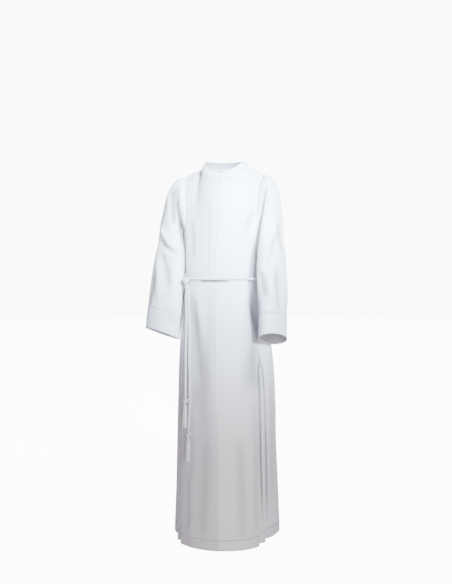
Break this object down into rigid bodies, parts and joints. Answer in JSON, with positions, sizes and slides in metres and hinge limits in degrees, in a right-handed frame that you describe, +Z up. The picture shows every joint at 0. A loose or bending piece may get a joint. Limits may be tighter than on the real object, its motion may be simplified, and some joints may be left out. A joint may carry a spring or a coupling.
{
  "type": "first communion robe",
  "caption": "Long white child's robe in its worn shape, with stand collar, set-in sleeves, side pleats and a knotted, tasselled rope belt.",
  "frame": {"origin": "centre of the neck base, at the height of the side neck point, where the wearer's shoulders carry the robe", "axes": "+X to the wearer's left, -Y to the front, +Z up along the robe's length"},
  "size_m": [0.4493, 0.3961, 1.1238],
  "materials": {
    "robe_fabric": "matt smooth twill with a faint sheen",
    "cincture_rope": "twisted cotton rope"
  },
  "bodies": {
    "root": {"front_right": "robe_fabric", "front_left": "robe_fabric", "back": "robe_fabric", "side_right": "robe_fabric", "side_left": "robe_fabric", "sleeve_right": "robe_fabric", "sleeve_left": "robe_fabric", "collar": "robe_fabric", "cincture_loop": "cincture_rope", "cincture_knot": "cincture_rope", "cincture_end_a": "cincture_rope", "cincture_end_b": "cincture_rope", "end_knot_a": "cincture_rope", "end_knot_b": "cincture_rope", "tassel_a": "cincture_rope", "tassel_b": "cincture_rope"}
  },
  "joints": []
}
